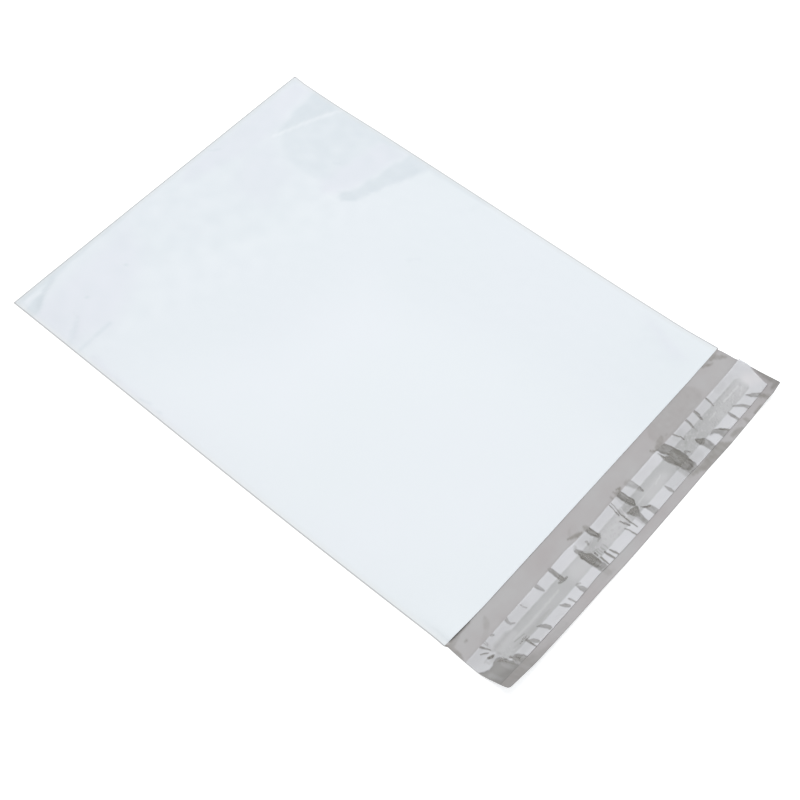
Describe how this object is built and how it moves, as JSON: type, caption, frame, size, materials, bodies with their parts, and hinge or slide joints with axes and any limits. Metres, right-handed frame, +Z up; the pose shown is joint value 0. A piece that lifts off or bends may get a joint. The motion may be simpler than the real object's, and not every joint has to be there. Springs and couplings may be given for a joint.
{
  "type": "poly mailer bag",
  "caption": "Flat self-seal poly mailer bag: white film outside and grey inside, folded bottom, welded sides, open mouth, and a flap with a glue line under a clear release liner.",
  "frame": {"origin": "on the surface the bag lies on, under the middle of its outline", "axes": "+Y runs along the bag from the bottom fold to the flap's free edge, +Z is up with the mouth's front panel on top, +X completes a right-handed frame across the bag"},
  "size_m": [0.2316, 0.355, 0.0083],
  "materials": {
    "bag_film": "semi-gloss white co-extruded film, grey on its inner face",
    "adhesive_strip": "clear tacky hot-melt glue seen over grey film",
    "release_liner": "hazy clear silicone-coated release film"
  },
  "bodies": {
    "root": {"bag_film": "bag_film", "adhesive_strip": "adhesive_strip", "release_liner": "release_liner"}
  },
  "joints": []
}
